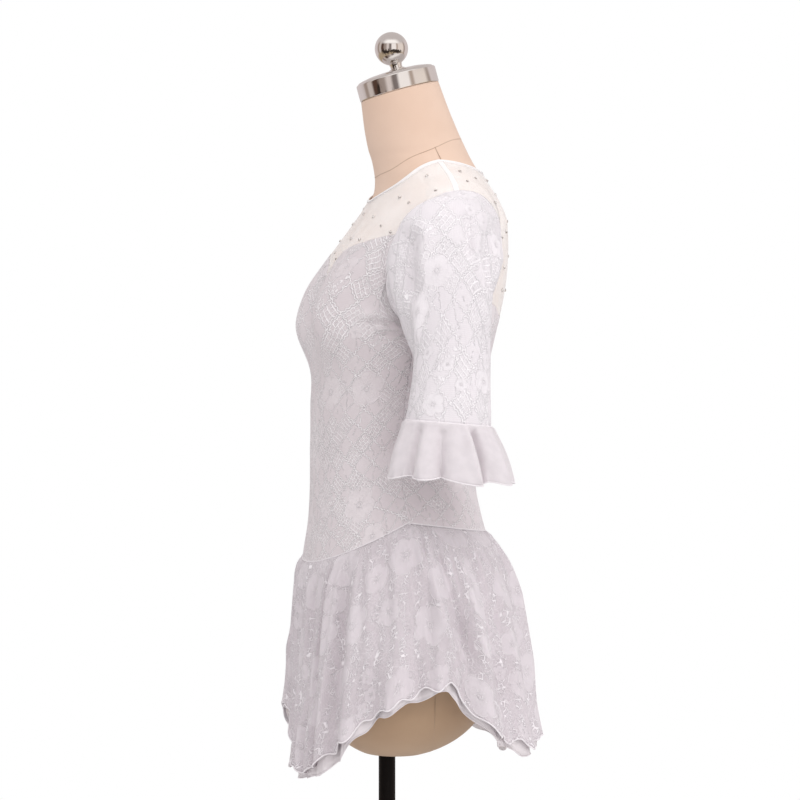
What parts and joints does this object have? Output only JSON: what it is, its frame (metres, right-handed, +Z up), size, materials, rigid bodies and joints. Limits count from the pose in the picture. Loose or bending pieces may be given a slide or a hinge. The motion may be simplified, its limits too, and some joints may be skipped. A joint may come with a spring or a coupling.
{
  "type": "figure skating dress on a limbless dress form stand",
  "caption": "White lace figure skating dress with a sheer yoke, elbow sleeves with frilled cuffs and a gathered skirt, on a limbless dress form on a round stand.",
  "frame": {"origin": "on the floor, under the middle of the pole, at the base plate's underside", "axes": "+Z up along the pole; the dress faces -Y; +X is the wearer's left"},
  "size_m": [0.478, 0.3493, 1.5176],
  "materials": {
    "white_lace": "white floral lace with raised cords, laid over a plain pale lining",
    "sheer_mesh": "fine off-white see-through stretch mesh",
    "chiffon": "plain soft translucent white chiffon",
    "form_cover": "peach-beige jersey cover, matte, with stitched seams",
    "chrome": "polished bright plating",
    "black_metal": "smooth semi-gloss black paint",
    "crystal": "small faceted stones with a dark foil back"
  },
  "bodies": {
    "root": {"bodice_front": "white_lace", "bodice_back": "white_lace", "yoke_front": "sheer_mesh", "yoke_back": "sheer_mesh", "neck_binding": "chiffon", "shoulder_tape_left": "sheer_mesh", "shoulder_tape_right": "sheer_mesh", "sleeve_left": "white_lace", "sleeve_right": "white_lace", "cuff_ruffle_left": "chiffon", "cuff_ruffle_right": "chiffon", "skirt_lace": "white_lace", "skirt_lining": "chiffon", "form_body": "form_cover", "neck_cap": "chrome", "finial_ball": "chrome", "pole": "black_metal", "pole_collar": "black_metal", "base_plate": "black_metal"}
  },
  "joints": []
}
